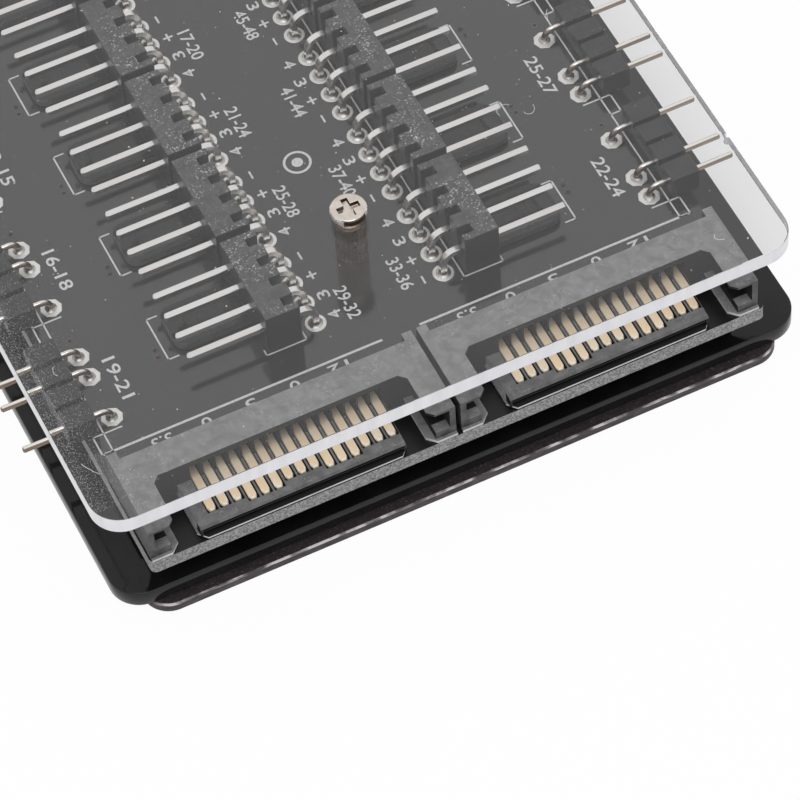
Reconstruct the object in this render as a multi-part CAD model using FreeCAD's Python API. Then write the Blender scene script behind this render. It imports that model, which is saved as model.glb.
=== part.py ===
import FreeCAD, Part
import os
from math import cos, pi, sin

os.makedirs("parts", exist_ok=True)

V = FreeCAD.Vector

# Driving dimensions, in millimetres. X runs across the board, with 0 on the line through the two
# screws, +Y from the power sockets at the front to the signal inputs at the back, and +Z up. Places
# are from the board's front edge, and places given "out" are from the screws' line.

# Fan headers, in two columns with their pins pointing outwards
fan_rows = 8
fan_gap = 0.77            # between two housings of a column
fan_end_wall = 1.24       # housing beyond its outer pins
fan_first_right = 16.72   # first pin of the first header
fan_first_left = 16.95
pin_pitch = 2.54
fan_pins = 4
fan_leg_out = 6.45
fan_body_offset = 1.8     # housing's rear from its legs
fan_body_depth = 3.45
fan_body_height = 5.0
fan_pin_height = 2.5      # pin axis above the board
fan_pin_side = 0.64
fan_pin_reach = 7.4       # bare pin beyond the housing
fan_slot_width = 0.95
fan_slot_depth = 1.25
fan_tab_length = 7.3
fan_tab_width = 4.9
fan_tab_thick = 0.85
fan_tab_corner = 1.2
fan_ramp_height = 0.45
fan_ramp_length = 1.3
fan_ramp_setback = 0.4
pin_bend = 1.25
pin_tail = 1.3            # pin below the board
pin_tip = 0.18
hole_clearance = 0.1
seat_gap = 0.05           # housings stand this far off the board

# Light headers, along both long edges with their pins pointing outwards
light_rows = 7
light_gap = 3.84
light_first = 15.87
light_places = 4
light_blank = 2           # place with no pin, counted from a header's first place
light_body_offset = 1.8
light_body_depth = 2.85
light_body_height = 2.54
light_pin_height = 1.2
light_pin_diameter = 0.6
light_pin_reach = 4.05
light_bend = 1.0
light_tip = 0.12
groove_width = 0.5
groove_depth = 0.6

# Stack of flat pieces
board_width = 61.5
board_thick = 1.6
board_corner = 0.6
board_shift = 0.25        # flat pieces sit a little to one side of the screws' line
rear_margin = 11.34       # board beyond the left column's last pin
light_edge_inset = 3.45   # light header legs, from half the board's width
plate_overhang = 3.75     # cover and base beyond half the board's width
cover_thick = 1.8
cover_corner = 3.0
cover_shift = 0.3
cover_setback = 0.65      # front and rear edges stand back from the board's
cover_clearance = 0.05    # over the fan housings
base_thick = 1.8
base_corner = 3.0
base_shift = 0.9
base_gap = 3.5            # base top to board underside
pad_inset = 2.5           # pad's long edges inside the base's
pad_thick = 1.1
pad_corner = 2.6
pad_overhang = 1.1        # pad's front edge ahead of the base's
pad_rear_inset = 1.8
nick_place = 14.6         # small chip in the cover's right edge
nick_radius = 0.3

# Screws and spacers
screw_from_front = 22.7
screw_from_rear = 22.7
screw_diameter = 2.0
screw_hole_clearance = 0.3
base_hole_clearance = 1.4
thread_clearance = 0.1
head_diameter = 3.5
head_edge = 0.25
cover_head_height = 0.7
base_head_diameter = 4.4
base_head_height = 0.8
head_hole_clearance = 1.6
recess_length = 2.2
recess_width = 0.65
recess_depth = 0.5
standoff_diameter = 3.0
knurl_count = 24
knurl_depth = 0.1
standoff_neck = 0.5       # plain band at each end of the knurling
spacer_diameter = 4.0

# Power sockets, side by side along the front edge
socket_width = 30.1
socket_gap = 0.5
socket_height = 4.0
socket_front = 5.25       # front of the block that holds the contacts
socket_back = 8.5
socket_ear_width = 1.0
socket_ear_length = 0.85
post_width = 2.05
post_wall = 0.6
post_floor = 1.2
post_recess_depth = 3.2
post_setback = 0.3
post_lip_thick = 0.3
foot_lip_width = 2.85
foot_lip_cut = 0.85
cap_lip_width = 2.65
cap_lip_cut = 0.6
cap_web = 0.65            # chamfer where the cap meets the block
tongue_width = 20.6
tongue_bottom = 0.15
tongue_top = 1.4
tongue_lip = 0.2          # thickness of the flange along the tongue's underside
tongue_cut_across = 0.75
tongue_cut_along = 0.85
core_inset = 0.2          # tongue's core inside its flange, at the sides and in front
core_setback = 0.4
core_lead = 0.2
core_rib_height = 0.82    # rib between the two slots of the front face
core_rib_thick = 0.12
core_slot_inset = 0.25
upper_slot_depth = 0.6
lower_slot_depth = 1.6
contact_count = 15
contact_first = 6.8       # from the socket's left side
contact_pitch = 1.27
contact_width = 0.8
contact_thick = 0.25
contact_tip_width = 0.5
contact_tip_length = 0.35
contact_front = 1.83
contact_long = 0.5        # extra reach of the contacts that meet first
long_contacts = (3, 4, 5, 9, 10, 11)
channel_clearance = 0.25
channel_depth = 0.35
window_height = 1.9       # openings over the contacts in the block's front
window_depth = 1.2
contact_leg_back = 7.3
contact_leg_side = 0.5

# Signal inputs at the rear edge, one header of each kind
input_fan_out = 0.0
input_light_out = 14.0
input_fan_inset = 0.95    # fan style pin tips inside the rear edge
input_light_inset = 3.2   # light style legs inside the rear edge

# Derived places
board_bottom = pad_thick + base_thick + base_gap
board_top = board_bottom + board_thick
cover_gap = fan_body_height + cover_clearance
base_bottom = pad_thick
base_top = base_bottom + base_thick
cover_bottom = board_top + cover_gap
cover_top = cover_bottom + cover_thick
fan_span = (fan_pins - 1) * pin_pitch
fan_body_length = fan_span + 2 * fan_end_wall
fan_pitch = fan_body_length + fan_gap
fan_reach = fan_body_offset + fan_body_depth + fan_pin_reach
light_span = (light_places - 1) * pin_pitch
light_body_length = light_places * pin_pitch
light_pitch = light_body_length + light_gap
light_leg_out = board_width / 2 - light_edge_inset
light_reach = light_body_offset + light_body_depth + light_pin_reach
board_length = fan_first_left + (fan_rows - 1) * fan_pitch + fan_span + rear_margin
plate_width = board_width + 2 * plate_overhang
plate_length = board_length - 2 * cover_setback
pad_width = plate_width - 2 * pad_inset
pad_front = cover_setback - pad_overhang
pad_length = plate_length + pad_overhang - pad_rear_inset
screw_places = (screw_from_front, board_length - screw_from_rear)
front_most = min(pad_front, 0.0)
rear_most = board_length - input_light_inset + light_reach
centre_y = (front_most + rear_most) / 2

# A header's seat is the place of its first pin and its number of quarter turns. Unturned, its pins
# point along +X and its next pin lies along +Y.
fan_seats_right = [(fan_leg_out, fan_first_right + row * fan_pitch, 0) for row in range(fan_rows)]
fan_seats_left = [(-fan_leg_out, fan_first_left + row * fan_pitch + fan_span, 2)
                  for row in range(fan_rows)]
light_seats_right = [(light_leg_out, light_first + row * light_pitch, 0) for row in range(light_rows)]
light_seats_left = [(-light_leg_out, light_first + row * light_pitch + light_span, 2)
                    for row in range(light_rows)]
input_fan_seat = (input_fan_out + fan_span / 2, board_length - input_fan_inset - fan_reach, 1)
input_light_seat = (input_light_out + light_span / 2, board_length - input_light_inset, 1)
next_pin = {0: (0, pin_pitch), 1: (-pin_pitch, 0), 2: (0, -pin_pitch)}


def save(name, *solids):
    """Write one piece, or a group of like pieces, as parts/NAME.step with the row's middle at Y 0."""
    moved = [solid.copy() for solid in solids]
    for solid in moved:
        solid.translate(V(0, -centre_y, 0))
    shape = moved[0] if len(moved) == 1 else Part.makeCompound(moved)
    shape.exportStep("parts/" + name + ".step")


def block(x0, x1, y0, y1, z0, z1):
    """Box between two corners."""
    return Part.makeBox(x1 - x0, y1 - y0, z1 - z0, V(x0, y0, z0))


def rod(x, y, z0, z1, diameter):
    """Upright cylinder."""
    return Part.makeCylinder(diameter / 2, z1 - z0, V(x, y, z0))


def prism(outline, z0, z1):
    """Solid with upright sides over an outline of X and Y pairs."""
    points = [V(x, y, z0) for x, y in outline]
    return Part.Face(Part.makePolygon(points + [points[0]])).extrude(V(0, 0, z1 - z0))


def upright_edges(shape, test=None):
    """Edges that run along Z, or those of them whose middle passes the test."""
    found = []
    for edge in shape.Edges:
        ends = [v.Point for v in edge.Vertexes]
        if len(ends) == 2 and (ends[0] - ends[1]).cross(V(0, 0, 1)).Length < 1e-6:
            if test is None or test((ends[0] + ends[1]) / 2):
                found.append(edge)
    return found


def plate(x_middle, width, y0, y1, z0, z1, corner):
    """Flat plate with rounded corners."""
    body = block(x_middle - width / 2, x_middle + width / 2, y0, y1, z0, z1)
    return body.makeFillet(corner, upright_edges(body))


def at_seat(shape, seat):
    """Copy of a shape made at the origin, turned and moved to a header's seat."""
    x, y, turns = seat
    copy = shape.copy()
    copy.rotate(V(0, 0, 0), V(0, 0, 1), 90 * turns)
    copy.translate(V(x, y, 0))
    return copy


def pin_seats(seat, count, blank=None):
    """Seats of a header's single pins, without the blank place."""
    x, y, turns = seat
    step_x, step_y = next_pin[turns]
    return [(x + place * step_x, y + place * step_y, turns) for place in range(count) if place != blank]


# Plates, pad, spacers and screws

def magnet_pad():
    body = plate(base_shift, pad_width, pad_front, pad_front + pad_length, 0, pad_thick, pad_corner)
    for y in screw_places:
        body = body.cut(rod(0, y, -1, pad_thick + 1, base_head_diameter + head_hole_clearance))
    return body


def base_plate():
    rear = cover_setback + plate_length
    body = plate(base_shift, plate_width, cover_setback, rear, base_bottom, base_top, base_corner)
    for y in screw_places:
        body = body.cut(rod(0, y, base_bottom - 1, base_top + 1, screw_diameter + base_hole_clearance))
    return body


def cover_plate():
    rear = cover_setback + plate_length
    low, high = cover_bottom - 1, cover_top + 1
    body = plate(cover_shift, plate_width, cover_setback, rear, cover_bottom, cover_top, cover_corner)
    for y in screw_places:
        body = body.cut(rod(0, y, low, high, screw_diameter + screw_hole_clearance))
    edge = cover_shift + plate_width / 2
    return body.cut(rod(edge, nick_place, low, high, 2 * nick_radius))


def board_spacer(y):
    outer = rod(0, y, base_top, board_bottom, spacer_diameter)
    return outer.cut(rod(0, y, base_top, board_bottom, screw_diameter + screw_hole_clearance))


def cover_standoff(y):
    """Round standoff with straight knurling between two plain bands."""
    body = rod(0, y, board_top, cover_bottom, standoff_diameter)
    radius = standoff_diameter / 2
    grooves = []
    for index in range(knurl_count):
        angle = 2 * pi * index / knurl_count
        grooves.append(rod(radius * cos(angle), y + radius * sin(angle), board_top + standoff_neck,
                           cover_bottom - standoff_neck, 2 * knurl_depth))
    body = body.cut(Part.makeCompound(grooves))
    return body.cut(rod(0, y, board_top, cover_bottom, screw_diameter + thread_clearance))


def cross_recess(y, z_face, depth):
    """Cross-shaped recess cut down from z_face, or up for a negative depth."""
    low = min(z_face, z_face - depth)
    high = max(z_face, z_face - depth)
    half = recess_length / 2
    thin = recess_width / 2
    one = block(-half, half, y - thin, y + thin, low, high)
    other = block(-thin, thin, y - half, y + half, low, high)
    return one.fuse(other)


def cover_screw(y):
    """Screw from above: pan head on the cover, shank halfway down the standoff."""
    head_top = cover_top + cover_head_height
    shank = rod(0, y, board_top + cover_gap / 2 + thread_clearance, cover_top, screw_diameter)
    head = rod(0, y, cover_top, head_top, head_diameter)
    rim = [e for e in head.Edges if e.CenterOfMass.z > head_top - 1e-6 and e.Length > pi]
    head = head.makeFillet(head_edge, rim)
    return shank.fuse(head).removeSplitter().cut(cross_recess(y, head_top, recess_depth))


def base_screw(y):
    """Screw from below: flat head against the base, shank up into the standoff."""
    head_face = base_bottom - base_head_height
    shank = rod(0, y, base_bottom, board_top + cover_gap / 2 - thread_clearance, screw_diameter)
    head = rod(0, y, head_face, base_bottom, base_head_diameter)
    return shank.fuse(head).removeSplitter().cut(cross_recess(y, head_face, -recess_depth))


# Pins: made at the origin, with the leg on the Z axis and the bare end along +X

def square_pin():
    axis_z = board_top + fan_pin_height
    half = fan_pin_side / 2
    run = block(pin_bend, fan_reach, -half, half, axis_z - half, axis_z + half)
    end = [e for e in run.Edges if abs(e.CenterOfMass.x - fan_reach) < 1e-6]
    run = run.makeChamfer(pin_tip, end)
    corners = [V(pin_bend, -half, axis_z - half), V(pin_bend, half, axis_z - half),
               V(pin_bend, half, axis_z + half), V(pin_bend, -half, axis_z + half)]
    section = Part.Face(Part.makePolygon(corners + [corners[0]]))
    elbow = section.revolve(V(pin_bend, 0, axis_z - pin_bend), V(0, -1, 0), 90)
    leg = block(-half, half, -half, half, board_bottom - pin_tail, axis_z - pin_bend)
    return run.fuse([elbow, leg]).removeSplitter()


def round_pin():
    axis_z = board_top + light_pin_height
    radius = light_pin_diameter / 2
    start = V(light_bend, 0, axis_z)
    run = Part.makeCylinder(radius, light_reach - light_bend, start, V(1, 0, 0))
    end = [e for e in run.Edges if abs(e.CenterOfMass.x - light_reach) < 1e-6 and e.Length > pi * radius]
    run = run.makeChamfer(light_tip, end)
    ring = Part.Face(Part.Wire(Part.makeCircle(radius, start, V(1, 0, 0))))
    elbow = ring.revolve(V(light_bend, 0, axis_z - light_bend), V(0, -1, 0), 90)
    leg = rod(0, 0, board_bottom - pin_tail, axis_z - light_bend, light_pin_diameter)
    return run.fuse([elbow, leg]).removeSplitter()


# Header housings: made with the first pin's leg at the origin

def fan_housing():
    """Body with a rear comb, pin holes and the lock tab along the board."""
    rear, front = fan_body_offset, fan_body_offset + fan_body_depth
    low = board_top + seat_gap
    high = board_top + fan_body_height
    body = block(rear, front, -fan_end_wall, fan_span + fan_end_wall, low, high)
    tab_low, tab_high = pin_pitch - fan_tab_width / 2, pin_pitch + fan_tab_width / 2
    tip = front + fan_tab_length
    tab = block(front, tip, tab_low, tab_high, low, low + fan_tab_thick)
    tab = tab.makeFillet(fan_tab_corner, upright_edges(tab, lambda p: p.x > tip - 1e-6))
    ramp_end = tip - fan_ramp_setback
    ramp_start = ramp_end - fan_ramp_length
    ramp_low = low + fan_tab_thick
    ramp_side = tab_low + fan_tab_corner
    outline = [V(ramp_start, ramp_side, ramp_low), V(ramp_start, ramp_side, ramp_low + fan_ramp_height),
               V(ramp_end, ramp_side, ramp_low)]
    ramp_width = fan_tab_width - 2 * fan_tab_corner
    ramp = Part.Face(Part.makePolygon(outline + [outline[0]])).extrude(V(0, ramp_width, 0))
    body = body.fuse([tab, ramp]).removeSplitter()
    pin_z = board_top + fan_pin_height
    half = (fan_pin_side + hole_clearance) / 2
    for place in range(fan_pins):
        y = place * pin_pitch
        slot = block(rear - 1, rear + fan_slot_depth, y - fan_slot_width / 2, y + fan_slot_width / 2,
                     pin_z - half, high + 1)
        hole = block(rear - 1, front + 1, y - half, y + half, pin_z - half, pin_z + half)
        body = body.cut(slot.fuse(hole))
    return body


def light_housing():
    """Low body, grooved between its pin places."""
    rear, front = light_body_offset, light_body_offset + light_body_depth
    low = board_top + seat_gap
    high = board_top + light_body_height
    first_side = -pin_pitch / 2
    body = block(rear, front, first_side, first_side + light_body_length, low, high)
    half = groove_width / 2
    for place in range(1, light_places):
        y = first_side + place * pin_pitch
        body = body.cut(block(rear - 1, front + 1, y - half, y + half, high - groove_depth, high + 1))
    for x, y, turns in pin_seats((0, 0, 0), light_places, light_blank):
        start = V(rear - 1, y, board_top + light_pin_height)
        hole = Part.makeCylinder((light_pin_diameter + hole_clearance) / 2, light_body_depth + 2, start,
                                 V(1, 0, 0))
        body = body.cut(hole)
    return body


# Power sockets: made with the left side at X 0 and the front at Y 0

def socket_left(side):
    """X of a socket's left side; side is -1 for the left socket and 1 for the right."""
    return side * (socket_width + socket_gap) / 2 - socket_width / 2


def contact_places():
    """X and front end of each contact."""
    return [(contact_first + contact_pitch * index,
             contact_front - (contact_long if index in long_contacts else 0))
            for index in range(contact_count)]


def foot_lip(z0, z1):
    """Lip along a guide post's foot, cut back at its inner front corner."""
    wide, cut = foot_lip_width, foot_lip_cut
    return prism([(0, 0), (wide - cut, 0), (wide, cut), (wide, socket_front), (0, socket_front)], z0, z1)


def cap_lip(z0, z1):
    """Lip over a guide post, with a web where it meets the block."""
    front, wide, cut = post_setback, cap_lip_width, cap_lip_cut
    return prism([(0, front), (wide - cut, front), (wide, front + cut), (wide, socket_front - cap_web),
                  (wide + cap_web, socket_front), (0, socket_front)], z0, z1)


def guide_post():
    """Left guide post: outer wall, deep recess open to the front and inwards, a lip above and below."""
    low = board_top + seat_gap
    high = board_top + socket_height
    body = block(0, post_width, post_setback, socket_front, low, high)
    recess = block(post_wall, post_width + 1, -1, post_recess_depth, low + post_floor,
                   high - post_lip_thick)
    return body.cut(recess).fuse([foot_lip(low, low + post_lip_thick), cap_lip(high - post_lip_thick, high)])


def tongue():
    """Contact tongue: flange with cut-back corners, and a core with two slots in its front face."""
    low = board_top + tongue_bottom
    high = board_top + tongue_top
    left = (socket_width - tongue_width) / 2
    right = left + tongue_width
    across, along = tongue_cut_across, tongue_cut_along
    flange = prism([(left + across, 0), (right - across, 0), (right, along), (right, socket_front),
                    (left, socket_front), (left, along)], low, low + tongue_lip)
    core = block(left + core_inset, right - core_inset, core_setback, socket_front, low, high)
    lead = [e for e in core.Edges if e.CenterOfMass.z > high - 1e-6
            and e.CenterOfMass.y < core_setback + 1e-6]
    core = core.makeChamfer(core_lead, lead)
    slot_left = left + core_inset + core_slot_inset
    slot_right = right - core_inset - core_slot_inset
    rib_low = board_top + core_rib_height
    lower = block(slot_left, slot_right, 0, core_setback + lower_slot_depth, low + tongue_lip, rib_low)
    upper = block(slot_left, slot_right, 0, core_setback + upper_slot_depth, rib_low + core_rib_thick,
                  high - core_lead - tongue_bottom / 2)
    return core.fuse(flange).removeSplitter().cut(lower).cut(upper)


def power_socket():
    low = board_top + seat_gap
    high = board_top + socket_height
    width = socket_width
    body = block(0, width, socket_front, socket_back, low, high)
    ear_rear = socket_back + socket_ear_length
    ears = [block(0, socket_ear_width, socket_back, ear_rear, low, high),
            block(width - socket_ear_width, width, socket_back, ear_rear, low, high)]
    right_post = guide_post().mirror(V(width / 2, 0, 0), V(1, 0, 0))
    body = body.fuse(ears + [guide_post(), right_post, tongue()]).removeSplitter()
    top = board_top + tongue_top
    half = (contact_width + channel_clearance) / 2
    leg = contact_leg_side / 2 + hole_clearance
    for x, front in contact_places():
        channel = block(x - half, x + half, front - channel_clearance / 2, contact_leg_back + leg,
                        top - channel_depth, top + hole_clearance)
        window = block(x - half, x + half, socket_front - 1, socket_front + window_depth,
                       top - channel_depth, top + window_height)
        drop = block(x - leg, x + leg, contact_leg_back - leg, contact_leg_back + leg, low - 1, top)
        body = body.cut(channel).cut(window).cut(drop)
    return body


def contact(front):
    """Flat contact strip with a narrowed tip, and a square leg down through the board."""
    high = board_top + tongue_top
    low = high - contact_thick
    half, tip, side = contact_width / 2, contact_tip_width / 2, contact_leg_side / 2
    rear = contact_leg_back + side
    shoulder = front + contact_tip_length
    strip = prism([(-tip, front), (tip, front), (half, shoulder), (half, rear), (-half, rear),
                   (-half, shoulder)], low, high)
    leg = block(-side, side, contact_leg_back - side, rear, board_bottom - pin_tail, high)
    return strip.fuse(leg).removeSplitter()


# Circuit board, drilled for every leg and screw

def board_holes():
    fan_hole = fan_pin_side * 2 ** 0.5 + hole_clearance
    light_hole = light_pin_diameter + 2 * hole_clearance
    contact_hole = contact_leg_side * 2 ** 0.5 + hole_clearance
    places = [(0, y, screw_diameter + screw_hole_clearance) for y in screw_places]
    for seat in fan_seats_left + fan_seats_right + [input_fan_seat]:
        places += [(x, y, fan_hole) for x, y, turns in pin_seats(seat, fan_pins)]
    for seat in light_seats_left + light_seats_right + [input_light_seat]:
        places += [(x, y, light_hole) for x, y, turns in pin_seats(seat, light_places, light_blank)]
    for side in (-1, 1):
        places += [(socket_left(side) + x, contact_leg_back, contact_hole)
                   for x, front in contact_places()]
    return [rod(x, y, board_bottom - 1, board_top + 1, hole) for x, y, hole in places]


def circuit_board():
    body = plate(board_shift, board_width, 0, board_length, board_bottom, board_top, board_corner)
    return body.cut(Part.makeCompound(board_holes()))


save("magnet_pad", magnet_pad())
save("base_plate", base_plate())
save("base_screws", *[base_screw(y) for y in screw_places])
save("board_spacers", *[board_spacer(y) for y in screw_places])
save("circuit_board", circuit_board())
save("cover_standoffs", *[cover_standoff(y) for y in screw_places])
save("cover_plate", cover_plate())
save("cover_screws", *[cover_screw(y) for y in screw_places])

socket = power_socket()
for label, side in (("left", -1), ("right", 1)):
    seat = (socket_left(side), 0, 0)
    save(label + "_power_socket", at_seat(socket, seat))
    save(label + "_power_contacts", *[at_seat(contact(front), (seat[0] + x, 0, 0))
                                      for x, front in contact_places()])

# Left column headers are numbered 1 to 8 towards the front, right column ones 9 to 16 away from it.
fan_body, fan_pin = fan_housing(), square_pin()
for row in range(fan_rows):
    save("fan_header_%02d" % (fan_rows - row), at_seat(fan_body, fan_seats_left[row]))
    save("fan_header_%02d" % (fan_rows + 1 + row), at_seat(fan_body, fan_seats_right[row]))
for label, seats in (("left", fan_seats_left), ("right", fan_seats_right)):
    save("fan_pins_" + label, *[at_seat(fan_pin, place) for seat in seats
                                for place in pin_seats(seat, fan_pins)])

light_body, light_pin = light_housing(), round_pin()
for row in range(light_rows):
    save("light_header_%02d" % (light_rows - row), at_seat(light_body, light_seats_left[row]))
    save("light_header_%02d" % (light_rows + 1 + row), at_seat(light_body, light_seats_right[row]))
for label, seats in (("left", light_seats_left), ("right", light_seats_right)):
    save("light_pins_" + label, *[at_seat(light_pin, place) for seat in seats
                                  for place in pin_seats(seat, light_places, light_blank)])

save("input_fan_header", at_seat(fan_body, input_fan_seat))
save("input_fan_pins", *[at_seat(fan_pin, place) for place in pin_seats(input_fan_seat, fan_pins)])
save("input_light_header", at_seat(light_body, input_light_seat))
save("input_light_pins", *[at_seat(light_pin, place)
                           for place in pin_seats(input_light_seat, light_places, light_blank)])
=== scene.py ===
import random
from math import cos, pi, radians, sin

import bmesh
import bpy
from mathutils import Matrix, Vector


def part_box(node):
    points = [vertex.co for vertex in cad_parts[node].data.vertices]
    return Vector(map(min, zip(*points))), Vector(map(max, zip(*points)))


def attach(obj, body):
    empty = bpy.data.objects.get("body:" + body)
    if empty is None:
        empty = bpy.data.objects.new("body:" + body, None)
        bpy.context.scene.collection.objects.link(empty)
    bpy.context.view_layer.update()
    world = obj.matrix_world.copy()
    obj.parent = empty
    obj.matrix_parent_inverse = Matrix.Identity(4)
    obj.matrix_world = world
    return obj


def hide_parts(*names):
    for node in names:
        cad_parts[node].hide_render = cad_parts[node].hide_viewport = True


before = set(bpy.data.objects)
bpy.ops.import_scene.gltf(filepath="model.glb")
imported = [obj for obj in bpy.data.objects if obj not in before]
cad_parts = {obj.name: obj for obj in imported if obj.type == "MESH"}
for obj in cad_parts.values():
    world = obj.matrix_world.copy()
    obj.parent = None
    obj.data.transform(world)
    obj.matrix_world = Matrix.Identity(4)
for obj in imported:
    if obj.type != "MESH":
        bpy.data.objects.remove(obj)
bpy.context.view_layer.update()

random.seed(11)

# Places are given in millimetres: out from the line through the two screws, back from the board's
# front edge and up from its top face.
MM = 0.001
board_low, board_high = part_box("circuit_board")
cover_low, cover_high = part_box("cover_plate")
FRONT = board_low[1]
TOP = board_high[2]
BOARD_THICK = (board_high[2] - board_low[2]) / MM
COVER_TOP = (cover_high[2] - TOP) / MM
BOARD_LENGTH = (board_high[1] - board_low[1]) / MM

FAN_PITCH = 10.87
FAN_FIRST = {1: 16.72, -1: 16.95}
FAN_LEG_OUT = 6.45
FAN_ROWS = 8
PIN_PITCH = 2.54
LIGHT_PITCH = 14.0
LIGHT_FIRST = 15.87
LIGHT_LEG_OUT = 27.3
LIGHT_ROWS = 7
LIGHT_PLACES = {1: (0, 1, 3), -1: (0, 2, 3)}
INPUT_FAN_LEG = BOARD_LENGTH - 13.6
INPUT_LIGHT_LEG = BOARD_LENGTH - 3.2
INPUT_LIGHT_OUT = 14.0
SOCKET_WIDTH = 30.1
SOCKET_OUT = 15.3
SOCKET_FRONT = 5.25
SHADE_FRONT = 1.3
BASE_DROP = 6.05
BASE_RECESS_DROP = 5.5
CONTACT_FIRST = 6.8
CONTACT_PITCH = 1.27
CONTACT_LEG_BACK = 7.3

# Printed lines and figures
FAN_RANGE_OUT = 2.85
FAN_MARK_OUT = 4.45
FAN_OUTLINE_REAR = 7.95
FAN_OUTLINE_MOUTH = 11.95
FAN_OUTLINE_FRONT = -1.32
FAN_OUTLINE_BACK = 8.94
BRACKET_OUT = 20.1
BRACKET_LENGTH = 5.1
LIGHT_RANGE_OUT = 25.0
LIGHT_LINE_OUT = 28.7
LIGHT_STEP_OUT = 29.75
LIGHT_STEP_IN = 26.95
LIGHT_STEP = 2.2
LIGHT_LINE_FRONT = 12.3
SOCKET_FIGURES_BACK = 11.3
SOCKET_FIGURE_PITCH = 4.4
OUTLINE_WIDTH = 0.15
LINE_WIDTH = 0.16
SOCKET_LINE_WIDTH = 0.25
RING_PLACE = (0.05, 34.9)

# View
PICTURE_WIDTH = 800
LENS_IN_PIXELS = 4668.27
SENSOR_WIDTH = 36.0
CAMERA_PLACE = (-0.097074, -0.285235, 0.347271)
CAMERA_RIGHT = (0.900104, -0.433030, -0.047928)
CAMERA_FORWARD = (0.222477, 0.551432, -0.804007)
SOFTBOX_PLACE = (-0.05, -0.16, 0.58)
SOFTBOX_SIZE = 0.33
SOFTBOX_WATTS = 0.55


def spot(out, back, up=0.0):
    """A point in metres from a place in millimetres on the board."""
    return Vector((out * MM, FRONT + back * MM, TOP + up * MM))


# Finishes

def finish(name, colour=(0.8, 0.8, 0.8), rough=0.5, metal=0.0, ior=1.5):
    """New material with its even values set on the shader's own sockets."""
    material = bpy.data.materials.new(name)
    material.use_nodes = True
    shader = material.node_tree.nodes["Principled BSDF"]
    shader.inputs["Base Color"].default_value = (*colour, 1)
    shader.inputs["Roughness"].default_value = rough
    shader.inputs["Metallic"].default_value = metal
    shader.inputs["IOR"].default_value = ior
    return material


def node(material, kind, **values):
    made = material.node_tree.nodes.new(kind)
    for key, value in values.items():
        setattr(made, key, value)
    return made


def link(material, source, target):
    material.node_tree.links.new(source, target)


def shader_of(material):
    return material.node_tree.nodes["Principled BSDF"]


def pattern(material, scale, detail=3.0, stretch=(1, 1, 1), distortion=0.0):
    """Noise in object space; scale is in features per metre."""
    place = node(material, "ShaderNodeTexCoord")
    mapping = node(material, "ShaderNodeMapping")
    mapping.inputs["Scale"].default_value = stretch
    link(material, place.outputs["Object"], mapping.inputs["Vector"])
    noise = node(material, "ShaderNodeTexNoise")
    noise.inputs["Scale"].default_value = scale
    noise.inputs["Detail"].default_value = detail
    noise.inputs["Distortion"].default_value = distortion
    link(material, mapping.outputs["Vector"], noise.inputs["Vector"])
    return noise.outputs["Fac"]


def tones(material, factor, stops):
    """Colour ramp; stops are (position, grey or colour)."""
    ramp = node(material, "ShaderNodeValToRGB")
    elements = ramp.color_ramp.elements
    while len(elements) < len(stops):
        elements.new(0.5)
    for element, (position, colour) in zip(elements, stops):
        element.position = position
        if isinstance(colour, (int, float)):
            colour = (colour, colour, colour)
        element.color = (*colour, 1)
    link(material, factor, ramp.inputs["Fac"])
    return ramp.outputs["Color"]


def span(material, factor, low, high):
    """The factor's range from 0.3 to 0.7 spread over low to high."""
    spread = node(material, "ShaderNodeMapRange")
    spread.inputs["From Min"].default_value = 0.3
    spread.inputs["From Max"].default_value = 0.7
    spread.inputs["To Min"].default_value = low
    spread.inputs["To Max"].default_value = high
    link(material, factor, spread.inputs["Value"])
    return spread.outputs["Result"]


def relief(material, factor, strength, depth):
    """Bump from a pattern; depth is in millimetres."""
    bump = node(material, "ShaderNodeBump")
    bump.inputs["Strength"].default_value = strength
    bump.inputs["Distance"].default_value = depth * MM
    link(material, factor, bump.inputs["Height"])
    link(material, bump.outputs["Normal"], shader_of(material).inputs["Normal"])


def blend(material, factor, under, over):
    """Mix of two colours; factor 1 shows the second."""
    mix = node(material, "ShaderNodeMix", data_type="RGBA")
    link(material, factor, mix.inputs["Factor"])
    for value, socket in ((under, mix.inputs[6]), (over, mix.inputs[7])):
        if isinstance(value, (int, float)):
            socket.default_value = (value, value, value, 1)
        else:
            link(material, value, socket)
    return mix.outputs[2]


def multiply(material, one, other):
    product = node(material, "ShaderNodeMath", operation="MULTIPLY")
    link(material, one, product.inputs[0])
    link(material, other, product.inputs[1])
    return product.outputs[0]


def facing_up(material):
    """1 on faces that look up, 0 on walls."""
    place = node(material, "ShaderNodeTexCoord")
    parts = node(material, "ShaderNodeSeparateXYZ")
    link(material, place.outputs["Normal"], parts.inputs[0])
    spread = node(material, "ShaderNodeMapRange")
    spread.inputs["From Min"].default_value = 0.6
    spread.inputs["From Max"].default_value = 0.95
    link(material, parts.outputs["Z"], spread.inputs["Value"])
    return spread.outputs["Result"]


def set_colour(material, colour):
    link(material, colour, shader_of(material).inputs["Base Color"])


def set_rough(material, factor):
    link(material, factor, shader_of(material).inputs["Roughness"])


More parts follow.
